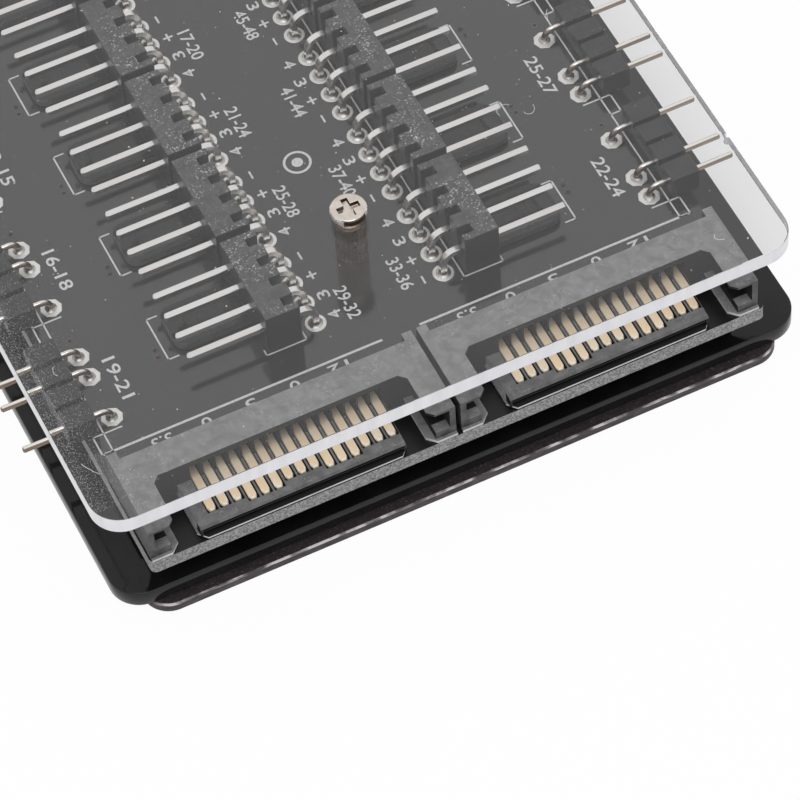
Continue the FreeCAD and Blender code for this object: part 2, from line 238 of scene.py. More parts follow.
def clear_sheet():
    """Clear cast sheet that lets lamps shine through onto what it covers."""
    material = finish("clear_sheet", (0.97, 0.97, 0.975), 0.0, ior=1.49)
    shader = shader_of(material)
    shader.inputs["Transmission Weight"].default_value = 1.0
    relief(material, pattern(material, 60, 2), 0.04, 0.02)
    path = node(material, "ShaderNodeLightPath")
    passing = node(material, "ShaderNodeBsdfTransparent")
    passing.inputs["Color"].default_value = (0.95, 0.95, 0.955, 1)
    straight = node(material, "ShaderNodeMath", operation="MAXIMUM")
    link(material, path.outputs["Is Shadow Ray"], straight.inputs[0])
    link(material, path.outputs["Is Reflection Ray"], straight.inputs[1])
    mix = node(material, "ShaderNodeMixShader")
    link(material, straight.outputs[0], mix.inputs["Fac"])
    link(material, shader.outputs["BSDF"], mix.inputs[1])
    link(material, passing.outputs["BSDF"], mix.inputs[2])
    link(material, mix.outputs["Shader"], material.node_tree.nodes["Material Output"].inputs["Surface"])
    return material


def cut_edge():
    material = finish("cut_edge", rough=0.35, ior=1.45)
    streaks = pattern(material, 900, 3, (1, 1, 0.15))
    # Painted light: the pale tones stand in for the light that the clear cut edge refracts.
    shades = [(0.3, (0.82, 0.82, 0.855)), (0.7, (0.92, 0.92, 0.95))]
    set_colour(material, tones(material, streaks, shades))
    relief(material, streaks, 0.15, 0.02)
    return material


def board_mask():
    """Black solder mask with a soft gloss."""
    material = finish("board_mask", rough=0.1, ior=1.8)
    cloud = pattern(material, 140, 4)
    set_colour(material, tones(material, cloud, [(0.3, 0.014), (0.7, 0.019)]))
    set_rough(material, span(material, pattern(material, 2600, 3), 0.09, 0.14))
    relief(material, pattern(material, 4200, 2), 0.02, 0.004)
    return material


def bare_fibreglass():
    material = finish("bare_fibreglass", rough=0.6)
    weave = pattern(material, 6500, 4)
    set_colour(material, tones(material, weave, [(0.36, 0.13), (0.5, 0.24), (0.64, 0.42)]))
    relief(material, weave, 0.3, 0.03)
    return material


def moulded(name, wall, top, specks, rough, patchy=(0.48, 0.66)):
    """Moulded black plastic: tops painted greyer than walls as painted light from above, and pale dust
    on what looks up.
    """
    material = finish(name, rough=rough)
    mottle = pattern(material, 900, 5, distortion=0.6)
    grains = tones(material, pattern(material, 5200, 2), [(0.57, 0.0), (0.69, 1.0)])
    patches = tones(material, pattern(material, 420, 3), [(patchy[0], 0.1), (patchy[1], 1.0)])
    up = facing_up(material)
    dust = multiply(material, multiply(material, grains, patches), up)
    # Painted light: walls take the first, darker tones and faces that look up take the second, lighter
    # ones.
    shaded_and_lit = [tones(material, mottle, [(0.35, dark), (0.65, light)]) for dark, light in (wall, top)]
    set_colour(material, blend(material, dust, blend(material, up, *shaded_and_lit), specks))
    relief(material, pattern(material, 3600, 4), 0.25, 0.02)
    return material


def even(name, dark, light, rough, scale=900):
    """Plain finish with a slight mottle."""
    material = finish(name, rough=rough)
    set_colour(material, tones(material, pattern(material, scale, 3), [(0.3, dark), (0.7, light)]))
    return material


def plated(name, dark, light, low, high, scale=700, stretch=(1, 1, 1), metal=1.0):
    """Plated metal with slight differences in tone and polish."""
    material = finish(name, metal=metal)
    tarnish = pattern(material, scale, 4, stretch)
    set_colour(material, tones(material, tarnish, [(0.35, dark), (0.65, light)]))
    set_rough(material, span(material, pattern(material, scale * 2.5, 3, stretch), low, high))
    relief(material, pattern(material, scale * 4, 3, stretch), 0.12, 0.01)
    return material


def round_pin():
    """Plated pin with painted light: a painted highlight along the top and painted brown shade down its
    sides.
    """
    material = finish("round_pin_painted_light", rough=0.22, metal=1.0)
    tarnish = pattern(material, 700, 4, (0.1, 1, 1))
    # Painted light: the first tones are painted brown shade for the sides, the second a painted
    # highlight for the top.
    shaded_and_lit = [tones(material, tarnish, [(0.35, dark), (0.65, light)])
             for dark, light in (((0.2, 0.15, 0.12), (0.3, 0.24, 0.19)),
                                 ((0.96, 0.9, 0.82), (1.0, 0.97, 0.93)))]
    lit = tones(material, facing_up(material), [(0.45, 0.0), (0.85, 1.0)])
    set_colour(material, blend(material, lit, *shaded_and_lit))
    relief(material, tarnish, 0.1, 0.01)
    return material


def black_gloss():
    material = finish("black_gloss", rough=0.06, ior=1.42)
    set_colour(material, tones(material, pattern(material, 300, 3), [(0.3, 0.006), (0.7, 0.011)]))
    scuffs = pattern(material, 900, 5, (0.2, 1, 1))
    set_rough(material, span(material, scuffs, 0.04, 0.12))
    relief(material, pattern(material, 90, 2), 0.05, 0.05)
    return material


def magnet_sheet():
    material = finish("magnet_sheet", rough=0.4)
    grain = pattern(material, 5200, 4)
    shades = [(0.35, (0.024, 0.018, 0.021)), (0.62, (0.045, 0.035, 0.04)), (0.74, (0.16, 0.14, 0.145))]
    set_colour(material, tones(material, grain, shades))
    set_rough(material, span(material, pattern(material, 1200, 3), 0.3, 0.5))
    relief(material, grain, 0.2, 0.02)
    return material


def magnet_side():
    """Side of the pad, paler than its top."""
    material = finish("magnet_side", rough=0.55)
    grain = pattern(material, 2400, 5, (0.35, 0.35, 1))
    shades = [(0.35, (0.035, 0.028, 0.03)), (0.65, (0.085, 0.07, 0.075))]
    set_colour(material, tones(material, grain, shades))
    relief(material, grain, 0.3, 0.03)
    return material


def magnet_rim_scuffs_and_highlight():
    """Pale line along the pad's upper edge: scuffed streaks and a painted highlight of the edge's
    glint.
    """
    material = finish("magnet_rim_scuffs_and_highlight", rough=0.6)
    streaks = pattern(material, 1900, 5, (0.3, 0.3, 1))
    shades = [(0.38, (0.07, 0.06, 0.064)), (0.5, (0.26, 0.23, 0.235)), (0.62, (0.7, 0.65, 0.65))]
    set_colour(material, tones(material, streaks, shades))
    relief(material, streaks, 0.4, 0.03)
    return material


def ink():
    material = finish("white_ink", rough=0.5)
    set_colour(material, tones(material, pattern(material, 5000, 3), [(0.3, 0.6), (0.6, 0.78)]))
    return material


def lint():
    material = finish("lint", rough=0.8)
    set_colour(material, tones(material, pattern(material, 900, 2), [(0.3, 0.6), (0.7, 0.85)]))
    return material


SHEET = clear_sheet()
# Pale painted light on the cover's cut sides.
EDGE = cut_edge()
MASK = board_mask()
FIBRE = bare_fibreglass()
# Moulded plastics: wall tones, then lighter top tones painted as light from above, then dust.
HEADER_PLASTIC = moulded("header_plastic", (0.014, 0.028), (0.055, 0.09), 0.65, 0.35, (0.42, 0.62))
LIGHT_PLASTIC = moulded("light_header_plastic", (0.016, 0.024), (0.02, 0.03), 0.2, 0.25, (0.6, 0.75))
SOCKET_PLASTIC = moulded("socket_plastic", (0.035, 0.09), (0.19, 0.28), 0.45, 0.45)
# A darker copy of the socket plastic, painted shade for the socket's front parts.
FRONT_PLASTIC_PAINTED_SHADE = moulded("socket_front_painted_shade", (0.04, 0.09), (0.12, 0.19), 0.35, 0.45)
TAB_PLASTIC = even("tab_plastic", 0.012, 0.018, 0.12)
# Pale painted highlight on the socket lips.
LIP_PAINTED_HIGHLIGHT = even("lip_painted_highlight", 0.5, 0.66, 0.5)
# Painted highlight on the fan lock tab's rim.
TAB_RIM_PAINTED_HIGHLIGHT = even("tab_rim_painted_highlight", 0.07, 0.12, 0.4)
GOLD = plated("gold_plate", (1.0, 0.76, 0.51), (1.0, 0.85, 0.63), 0.4, 0.5, metal=0.08)
# Paler gold painted as a highlight on the contacts' front ends.
GOLD_NOSE_PAINTED_HIGHLIGHT = plated("gold_nose_painted_highlight", (1.0, 0.86, 0.66), (1.0, 0.93, 0.8), 0.3, 0.4, metal=0.2)
TIN = plated("tin_plate", (0.92, 0.89, 0.86), (1.0, 0.98, 0.95), 0.18, 0.28, stretch=(0.1, 1, 1))
# Painted reflection: bright rim of the screw heads.
RIM_PAINTED_HIGHLIGHT = plated("rim_painted_highlight", (0.55, 0.52, 0.5), (0.98, 0.97, 0.96), 0.2, 0.35, scale=2500, metal=0.35)
NICKEL = plated("nickel_plate", (0.74, 0.65, 0.58), (0.9, 0.82, 0.75), 0.18, 0.3)
# Painted shade in the screw heads' cross recess.
NICKEL_PAINTED_SHADE = plated("nickel_painted_shade", (0.1, 0.08, 0.07), (0.2, 0.16, 0.14), 0.3, 0.45)
DULL_NICKEL = plated("dull_nickel", (0.3, 0.24, 0.2), (0.48, 0.4, 0.35), 0.25, 0.4)
SOLDER = plated("solder", (0.26, 0.25, 0.24), (0.66, 0.65, 0.62), 0.25, 0.4, scale=1500)
TINNED_PAD = plated("tinned_pad", (0.86, 0.84, 0.8), (0.97, 0.95, 0.91), 0.4, 0.55, scale=1200,
                    metal=0.8)
COPPER_RING = plated("copper_ring", (0.1, 0.07, 0.07), (0.2, 0.15, 0.145), 0.35, 0.45)
# Darker copy of the mask, painted shade in front of the sockets.
MASK_PAINTED_SHADE = even("board_mask_painted_shade", 0.004, 0.007, 0.35)
GLOSS = black_gloss()
MAGNET = magnet_sheet()
MAGNET_SIDE = magnet_side()
# Pad rim: scuffed streaks and a painted highlight.
MAGNET_RIM_SCUFFS_AND_HIGHLIGHT = magnet_rim_scuffs_and_highlight()
# Pins with a painted highlight on top and painted shade on their sides.
ROUND_PIN_WITH_PAINTED_LIGHT = round_pin()
INK = ink()
LINT = lint()
# Painted shade: near-black for recesses, grooves and hole bores.
BORE_PAINTED_SHADE = even("bore_painted_shade", 0.003, 0.006, 0.7)


# Shapes

def piece(name, work, slot, *materials, smooth=0):
    """Turn a bmesh into a piece of the scene; smooth is the angle up to which faces blend."""
    mesh = bpy.data.meshes.new(name)
    work.to_mesh(mesh)
    work.free()
    for material in materials:
        mesh.materials.append(material)
    if smooth:
        mesh.polygons.foreach_set("use_smooth", [True] * len(mesh.polygons))
        mesh.set_sharp_from_angle(angle=radians(smooth))
    made = bpy.data.objects.new(name, mesh)
    bpy.context.collection.objects.link(made)
    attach(made, "root")
    return made


def merged_copy(name):
    """Bmesh of a CAD node with its loose triangles joined."""
    work = bmesh.new()
    work.from_mesh(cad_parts[name].data)
    for face in work.faces:
        face.material_index = 0
    bmesh.ops.remove_doubles(work, verts=work.verts, dist=1e-7)
    return work


def sharp_edges(work, angle):
    return [e for e in work.edges if len(e.link_faces) == 2 and e.calc_face_angle(0) > radians(angle)]


def place_of(point):
    """Out, back and up of a point, in millimetres."""
    return point.x / MM, (point.y - FRONT) / MM, (point.z - TOP) / MM


def round_off(work, edges, width, segments=1):
    bmesh.ops.bevel(work, geom=edges, offset=width * MM, offset_type="OFFSET", segments=segments,
                    profile=0.5, affect="EDGES", material=-1, clamp_overlap=True)


def eased(name, slot, material, width, angle=40, segments=1, smooth=0, others=(), choose=None,
          cut=None):
    """Copy of a CAD node with its edges eased, which stands for the node.

    choose gives each face its material, from 0 for the first one on, from the face's middle as out,
    back and up and from its normal. cut parts the faces at a distance back, for choose to tell apart.
    """
    work = merged_copy(name)
    bmesh.ops.dissolve_limit(work, angle_limit=radians(0.5), verts=work.verts, edges=work.edges)
    if cut:
        bmesh.ops.bisect_plane(work, geom=work.verts[:] + work.edges[:] + work.faces[:], dist=1e-7,
                               plane_co=spot(0, cut), plane_no=(0, 1, 0))
    work.normal_update()
    if choose:
        for face in work.faces:
            face.material_index = choose(place_of(face.calc_center_median()), face.normal)
    round_off(work, sharp_edges(work, angle), width, segments)
    made = piece(name + "_eased", work, slot, material, *others, smooth=smooth)
    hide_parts(name)
    return made


def bar(work, start, end, width, height=0.02):
    """Flat printed line between two places given as (out, back, up)."""
    a, b = spot(*start), spot(*end)
    along = b - a
    turn = Matrix.Rotation(Vector((1, 0)).angle_signed(Vector((along.x, -along.y))), 4, "Z")
    size = Matrix.Diagonal((along.length + width * MM * 0.999, width * MM, height * MM, 1))
    bmesh.ops.create_cube(work, size=1.0, matrix=Matrix.Translation((a + b) / 2) @ turn @ size)


def spun(work, centre, profile, steps=16):
    """Round shape about an upright line; profile is [(radius, up), ...] in millimetres."""
    points = [work.verts.new(centre + Vector((radius * MM, 0, up * MM))) for radius, up in profile]
    edges = [work.edges.new(pair) for pair in zip(points, points[1:])]
    bmesh.ops.spin(work, geom=points + edges, cent=centre, axis=(0, 0, 1), angle=2 * pi, steps=steps,
                   use_merge=True)


def outward(work):
    bmesh.ops.remove_doubles(work, verts=work.verts, dist=1e-7)
    bmesh.ops.recalc_face_normals(work, faces=work.faces)


# Plates and pad

def cover():
    """Clear cover with eased edges, and a thin skin on its cut sides, painted pale in place of the
    light that the clear edge refracts.
    """
    work = merged_copy("cover_plate")
    bmesh.ops.dissolve_limit(work, angle_limit=radians(0.2), verts=work.verts, edges=work.edges)
    half = 0.9
    screw_zone = 2 * MM
    middle = TOP + (COVER_TOP - half) * MM

    def on_face(vert):
        return abs(abs(vert.co.z - middle) - half * MM) < 1e-5

    rim = [e for e in sharp_edges(work, 60)
           if all(on_face(v) for v in e.verts) and abs(e.verts[0].co.x) > screw_zone]
    round_off(work, rim, 0.1)
    work.normal_update()
    for face in work.faces:
        centre = face.calc_center_median()
        ends = not cover_low[1] + 1.5 * MM < centre.y < cover_high[1] - 1.5 * MM
        outer = abs(centre.x) > 33 * MM or ends
        face.material_index = 1 if outer and abs(face.normal.z) < 0.1 else 0
    made = piece("cover_plate_clear", work, "cover_plate", SHEET, EDGE)
    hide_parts("cover_plate")

    skin = merged_copy("cover_plate")
    skin.normal_update()
    away = [f for f in skin.faces
            if abs(f.normal.z) > 0.5 or f.calc_center_median().xy.length < screw_zone
            or abs(f.calc_center_median().x) < 3 * MM and abs(f.calc_center_median().y) < 45 * MM]
    bmesh.ops.delete(skin, geom=away, context="FACES")
    for vert in skin.verts:
        vert.co.z = middle + (vert.co.z - middle) * 0.86
        vert.co += Vector((0.01 * MM if vert.co.x > 0 else -0.01 * MM,
                           0.01 * MM if vert.co.y > 0 else -0.01 * MM, 0))
    bmesh.ops.solidify(skin, geom=skin.faces[:], thickness=-0.03 * MM)
    bmesh.ops.recalc_face_normals(skin, faces=skin.faces)
    piece("cover_cut_edge", skin, "cover_plate", EDGE, smooth=30)


def board():
    """Circuit board with black faces, painted darker as shade in front of the sockets, and bare
    fibreglass sides.
    """
    work = merged_copy("circuit_board")
    bmesh.ops.bisect_plane(work, geom=work.verts[:] + work.edges[:] + work.faces[:], dist=1e-7,
                           plane_co=spot(0, SOCKET_FRONT), plane_no=(0, 1, 0))
    work.normal_update()
    for face in work.faces:
        centre = face.calc_center_median()
        side = abs(face.normal.z) < 0.5
        rim = not (board_low[0] + 0.7 * MM < centre.x < board_high[0] - 0.7 * MM
                   and FRONT + 0.7 * MM < centre.y < board_high[1] - 0.7 * MM)
        # Painted shade: the board's top in front of the sockets takes a darker copy of the mask.
        front = centre.y < FRONT + SOCKET_FRONT * MM
        face.material_index = 1 if side and rim else 2 if front else 0
    made = piece("circuit_board_masked", work, "board", MASK, FIBRE, MASK_PAINTED_SHADE)
    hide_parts("circuit_board")


def magnet_pad():
    """Pad with round edges: a scuffed line with a painted highlight along the upper one, and paler
    sides.
    """
    work = merged_copy("magnet_pad")
    bmesh.ops.dissolve_limit(work, angle_limit=radians(0.5), verts=work.verts, edges=work.edges)
    round_off(work, sharp_edges(work, 60), 0.18, 3)
    work.normal_update()
    for face in work.faces:
        up = face.normal.z
        face.material_index = 2 if 0.15 < up < 0.97 else 1 if abs(up) < 0.15 else 0
    made = piece("magnet_pad_eased", work, "pad", MAGNET, MAGNET_SIDE, MAGNET_RIM_SCUFFS_AND_HIGHLIGHT, smooth=12)
    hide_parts("magnet_pad")


cover()
board()
eased("base_plate", "base_plate", GLOSS, 0.12, angle=60, segments=2, smooth=40)
magnet_pad()


# Screws, spacers and standoffs

def recess_face(middle, normal):
    """Chooser for a screw: 1 the walls of the cross in its head, painted dark as shade, 2 the head's
    rim, painted bright as a reflection.
    """
    out, back, up = middle
    drop = -BOARD_THICK - up
    inside = COVER_TOP + 0.1 < up < COVER_TOP + 0.65 or BASE_RECESS_DROP < drop < BASE_DROP
    if abs(normal.z) > 0.9 or not inside:
        return 0
    return 1 if abs(out) < 1.15 else 2


for name in ("cover_screws", "base_screws"):
    eased(name, "screws", NICKEL, 0.03, angle=50, segments=2, smooth=35, others=(NICKEL_PAINTED_SHADE, RIM_PAINTED_HIGHLIGHT),
          choose=recess_face)
eased("board_spacers", "spacers", NICKEL, 0.1, angle=60, smooth=35)
eased("cover_standoffs", "standoffs", DULL_NICKEL, 0.012, angle=50)


# Sockets, headers, contacts and pins

def socket_face(side):
    """Chooser for a power socket: 0 moulded grey, 1 painted black shade inside, 2 lips painted pale as
    a highlight, 3 front parts painted darker as shade.
    """
    left = side * SOCKET_OUT - SOCKET_WIDTH / 2

    def choose(middle, normal):
        out, back, up = middle
        inward = min(out - left, left + SOCKET_WIDTH - out)
        wall = abs(normal.z) < 0.5
        # Painted highlight: the thin lips at the posts' feet are painted pale.
        if wall and back < SOCKET_FRONT - 0.3 and (up < 0.4 or 0.8 < up < 0.96):
            return 2
        # Painted shade: up faces in front of the cover's edge and the tongue's top take the darker
        # copy.
        if normal.z > 0.5 and (back < SHADE_FRONT and up > 3.5 or inward > 4.6 and 1.3 < up < 1.5):
            return 3
        # Painted shade: recesses, slots and inner walls of the socket are painted black.
        in_recess = 0.35 < back < 4.0 and 1.3 < up < 3.75
        behind_foot = back > SHADE_FRONT and 0.5 < up < 1.3 and normal.z > 0.5
        if 0.55 < inward < 2.2 and (in_recess or behind_foot):
            return 1
        if inward > 2.0 and back > 0.6 and (wall or up < 3.4 and back > SOCKET_FRONT - 0.1):
            return 1
        if inward > 4.9 and back < SOCKET_FRONT and up < 1.2:
            return 1
        return 0
    return choose


def power_contacts(name):
    """Contacts whose front ends curve down, with a painted highlight on the curve."""
    work = merged_copy(name)
    bmesh.ops.dissolve_limit(work, angle_limit=radians(0.5), verts=work.verts, edges=work.edges)
    work.normal_update()
    nose = [e for e in sharp_edges(work, 50)
            if all(place_of(v.co)[2] > 1.3 and place_of(v.co)[1] < 2.4 for v in e.verts)]
    rounded = bmesh.ops.bevel(work, geom=nose, offset=0.2 * MM, offset_type="OFFSET", segments=3,
                              profile=0.5, affect="EDGES", material=-1, clamp_overlap=True)
    # Painted highlight: the curved front ends take the paler gold.
    for face in rounded["faces"]:
        face.material_index = 1
    rims = [e for e in sharp_edges(work, 60) if all(place_of(v.co)[2] > 1.3 for v in e.verts)]
    round_off(work, rims, 0.04)
    made = piece(name + "_eased", work, "contacts", GOLD, GOLD_NOSE_PAINTED_HIGHLIGHT)
    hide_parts(name)


def fan_face(middle, normal):
    """Chooser for a fan header: 0 body, 1 the lock tab's smooth top, 2 its rim, painted pale as a
    highlight.
    """
    if middle[2] > 1.5:
        return 0
    return 1 if abs(normal.z) > 0.5 else 2


def groove_face(middle, normal):
    """Chooser for a light header: 1 inside the grooves, painted black as shade."""
    up = middle[2]
    side = 1.9 < up < 2.4 and abs(normal.y) > 0.5
    floor_of_groove = normal.z > 0.5 and up < 2.4
    return 1 if side or floor_of_groove else 0


for label, side in (("left", -1), ("right", 1)):
    eased(label + "_power_socket", "socket_housings", SOCKET_PLASTIC, 0.045, angle=50,
          others=(BORE_PAINTED_SHADE, LIP_PAINTED_HIGHLIGHT, FRONT_PLASTIC_PAINTED_SHADE), choose=socket_face(side), cut=SHADE_FRONT)
    power_contacts(label + "_power_contacts")
    eased("fan_pins_" + label, "fan_pins", TIN, 0.05, angle=60, smooth=40)
    eased("light_pins_" + label, "light_pins", ROUND_PIN_WITH_PAINTED_LIGHT, 0.02, angle=60, smooth=40)
fan_headers = ["fan_header_%02d" % number for number in range(1, 2 * FAN_ROWS + 1)]
light_headers = ["light_header_%02d" % number for number in range(1, 2 * LIGHT_ROWS + 1)]
for name in fan_headers + ["input_fan_header"]:
    eased(name, "header_housings", HEADER_PLASTIC, 0.05, angle=50, others=(TAB_PLASTIC, TAB_RIM_PAINTED_HIGHLIGHT),
          choose=fan_face)
for name in light_headers + ["input_light_header"]:
    eased(name, "header_housings", LIGHT_PLASTIC, 0.04, angle=50, others=(BORE_PAINTED_SHADE,), choose=groove_face)
eased("input_fan_pins", "fan_pins", TIN, 0.05, angle=60, smooth=40)
eased("input_light_pins", "light_pins", ROUND_PIN_WITH_PAINTED_LIGHT, 0.02, angle=60, smooth=40)


# Solder

def fan_legs():
    for side in (1, -1):
        for row in range(FAN_ROWS):
            for place in range(4):
                yield side * FAN_LEG_OUT, FAN_FIRST[side] + row * FAN_PITCH + place * PIN_PITCH
    for place in range(4):
        yield (place - 1.5) * PIN_PITCH, INPUT_FAN_LEG


def light_legs():
    for side in (1, -1):
        for row in range(LIGHT_ROWS):
            for place in LIGHT_PLACES[side]:
                yield side * LIGHT_LEG_OUT, LIGHT_FIRST + row * LIGHT_PITCH + place * PIN_PITCH
    for place in (0, 1, 3):
        yield INPUT_LIGHT_OUT - (place - 1.5) * PIN_PITCH, INPUT_LIGHT_LEG


def contact_legs():
    for side in (1, -1):
        first = side * SOCKET_OUT - SOCKET_WIDTH / 2 + CONTACT_FIRST
        for index in range(15):
            yield first + CONTACT_PITCH * index, CONTACT_LEG_BACK


def solder_joints():
    """A pad and a fillet at each leg, above the board for the headers and below it for all."""
    pads, fillets = bmesh.new(), bmesh.new()
    under = -BOARD_THICK
    for out, back in fan_legs():
        spun(pads, spot(out, back), [(0.0, 0.03), (0.98, 0.03), (1.02, 0.0)], 20)
        height = random.uniform(0.25, 0.42)
        slope = [(0.42, height), (0.47, height * 0.45), (0.56, 0.1), (0.72, 0.03)]
        spun(fillets, spot(out, back), slope, 14)
    for out, back in light_legs():
        spun(pads, spot(out, back), [(0.0, 0.035), (1.04, 0.035), (1.08, 0.0)], 8)
        height = random.uniform(0.15, 0.3)
        spun(fillets, spot(out, back), [(0.3, height), (0.4, height * 0.5), (0.6, 0.04)], 12)
    for legs, radius in ((fan_legs(), 0.95), (light_legs(), 0.95), (contact_legs(), 0.55)):
        cone = [(0.0, -1.45), (0.25, -1.4), (radius * 0.5, -0.9), (radius * 0.75, -0.3),
                (radius, -0.04), (radius, 0.0)]
        for out, back in legs:
            spun(fillets, spot(out, back, under), cone, 10)
    for work in (pads, fillets):
        outward(work)
    piece("solder_pads", pads, "contacts", TINNED_PAD, smooth=30)
    piece("solder_fillets", fillets, "contacts", SOLDER, smooth=50)


solder_joints()


# Printing

def lettering(words):
    """Flat figures; each word is (text, out, back, length, height, half_turn)."""
    work = bmesh.new()
    for text, out, back, length, height, half_turn in words:
        curve = bpy.data.curves.new("figures", "FONT")
        curve.body = text
        curve.offset = 0.012
        curve.align_x, curve.align_y = "CENTER", "CENTER"
        curve.resolution_u = 3
        holder = bpy.data.objects.new("figures", curve)
        bpy.context.collection.objects.link(holder)
        bpy.context.view_layer.update()
        flat = bpy.data.meshes.new_from_object(holder)
        bpy.data.objects.remove(holder)
        xs = [v.co.x for v in flat.vertices]
        ys = [v.co.y for v in flat.vertices]
        wide, tall = max(xs) - min(xs), max(ys) - min(ys)
        centre = Vector(((max(xs) + min(xs)) / 2, (max(ys) + min(ys)) / 2, 0))
        scale_y = height * MM / (tall if tall > 0.3 else 0.7)
        flat.transform(Matrix.Translation(spot(out, back, 0.02))
                       @ Matrix.Rotation(radians(90 if half_turn else -90), 4, "Z")
                       @ Matrix.Diagonal((length * MM / wide, scale_y, 1, 1))
                       @ Matrix.Translation(-centre))
        work.from_mesh(flat)
        bpy.data.meshes.remove(flat)
    return work


def printing():
    """White lines, rings and plain figures on the board."""
    words = []
    for row in range(FAN_ROWS):
        for side in (1, -1):
            number = FAN_ROWS + 1 + row if side > 0 else FAN_ROWS - row
            first = FAN_FIRST[side] + row * FAN_PITCH
            pins = "%d-%d" % (4 * number - 3, 4 * number)
            lift = 3.3
            if row == 0:
                lift = 1.75 if side > 0 else 0.8
            words.append((pins, side * FAN_RANGE_OUT, first + lift, 3.9, 1.3, False))
            marks = ("-", "+", "3", "4") if side > 0 else ("4", "3", "+", "-")
            for place, mark in enumerate(marks):
                back = first + place * PIN_PITCH + 0.1
                long, tall = (1.0, 1.0) if mark == "+" else (0.95, 1.2)
                words.append((mark, side * FAN_MARK_OUT, back, long, tall, side < 0))
    for row in range(LIGHT_ROWS):
        for side in (1, -1):
            number = LIGHT_ROWS + 1 + row if side > 0 else LIGHT_ROWS - row
            pins = "%d-%d" % (3 * number - 2, 3 * number)
            back = LIGHT_FIRST + row * LIGHT_PITCH + 3.8
            words.append((pins, side * LIGHT_RANGE_OUT, back, 5.0, 1.3, False))
    work = lettering(words)
    for side in (1, -1):
        for row in range(FAN_ROWS):
            first = FAN_FIRST[side] + row * FAN_PITCH
            near, far = first + FAN_OUTLINE_FRONT, first + FAN_OUTLINE_BACK
            rear, mouth = side * FAN_OUTLINE_REAR, side * FAN_OUTLINE_MOUTH
            bar(work, (rear, near), (rear, far), OUTLINE_WIDTH)
            bar(work, (rear, near), (mouth, near), OUTLINE_WIDTH)
            bar(work, (mouth, near), (mouth, near + 0.6), OUTLINE_WIDTH)
            low = first + (0.0 if side > 0 else 2.45)
            high = low + BRACKET_LENGTH
            bracket = side * BRACKET_OUT
            bar(work, (bracket, low), (bracket, high), LINE_WIDTH)
            for back in (low, high):
                bar(work, (bracket, back), (bracket - side * 1.0, back), LINE_WIDTH)
        line = side * LIGHT_LINE_OUT
        line_end = LIGHT_FIRST + LIGHT_ROWS * LIGHT_PITCH - 3
        bar(work, (line, LIGHT_LINE_FRONT), (line, line_end), LINE_WIDTH)
        for row in range(LIGHT_ROWS + 1):
            back = LIGHT_LINE_FRONT + row * LIGHT_PITCH
            outer = side * LIGHT_STEP_OUT
            bar(work, (line, back), (outer, back), LINE_WIDTH)
            bar(work, (outer, back), (outer, back + LIGHT_STEP), LINE_WIDTH)
            bar(work, (outer, back + LIGHT_STEP), (side * LIGHT_STEP_IN, back + LIGHT_STEP), LINE_WIDTH)
        bar(work, (side * 2.0, 12.35), (side * 29.4, 12.35), SOCKET_LINE_WIDTH)
    for inner, outer in ((0.0, 0.55), (1.12, 1.37)):
        spun(work, spot(*RING_PLACE), [(inner, 0.02), (outer, 0.02), (outer, 0.0)], 32)
    outward(work)
    piece("board_printing", work, "board", INK)


def socket_figures():
    """Plain figures in a row behind the power sockets."""
    work = bmesh.new()
    for side in (1, -1):
        for index, text in enumerate(("3.3", "0", "5", "0", "12")):
            row = lettering([(text, 0, 0, 2.0 if len(text) > 1 else 1.0, 1.2, False)])
            place = spot(side * SOCKET_OUT - 9.0 + SOCKET_FIGURE_PITCH * index, SOCKET_FIGURES_BACK)
            bmesh.ops.transform(row, verts=row.verts,
                                matrix=Matrix.Translation(place) @ Matrix.Rotation(pi * 1.5, 4, "Z")
                                @ Matrix.Translation(-spot(0, 0)))
            flat = bpy.data.meshes.new("figures")
            row.to_mesh(flat)
            row.free()
            work.from_mesh(flat)
            bpy.data.meshes.remove(flat)
    piece("socket_printing", work, "board", INK)


printing()
socket_figures()


# Plated holes

def plated_holes():
    """Small tinned-through holes beside the fan pins and between the light headers."""
    rings, bores = bmesh.new(), bmesh.new()

    def hole(out, back):
        spun(rings, spot(out, back), [(0.2, 0.015), (0.33, 0.015), (0.33, 0.0)], 14)
        # Painted shade: a flat black disc stands in for the dark inside of the hole.
        spun(bores, spot(out, back), [(0.0, 0.01), (0.21, 0.01)], 14)

    for side in (1, -1):
        for row in range(FAN_ROWS):
            first = FAN_FIRST[side] + row * FAN_PITCH
            for out, back in ((20.8, 4.0), (20.9, 3.1)):
                hole(side * out, first + back)
        for row in range(LIGHT_ROWS):
            hole(side * LIGHT_LEG_OUT, LIGHT_FIRST + row * LIGHT_PITCH + 9.7)
    for work in (rings, bores):
        outward(work)
    piece("plated_hole_rings", rings, "contacts", COPPER_RING)
    piece("plated_hole_bores", bores, "board", BORE_PAINTED_SHADE)


plated_holes()


# Dust and fibres on the cover

def flecks(work, count, place, smallest, largest):
    """Scatter small flat specks; place gives the out and back of one. Made in lots, for speed."""
    made = 0
    while made < count:
        lot = bmesh.new()
        for _ in range(min(150, count - made)):
            out, back = place()
            radius = random.uniform(smallest, largest) * MM
            stretch = Matrix.Diagonal((random.uniform(0.6, 1.6), random.uniform(0.5, 1.1), 1, 1))
            bmesh.ops.create_circle(lot, cap_ends=True, radius=radius, segments=5,
                                    matrix=Matrix.Translation(spot(out, back, COVER_TOP + 0.012))
                                    @ Matrix.Rotation(random.uniform(0, pi), 4, "Z") @ stretch)
            made += 1
        flat = bpy.data.meshes.new("specks")
        lot.to_mesh(flat)
        lot.free()
        work.from_mesh(flat)
        bpy.data.meshes.remove(flat)


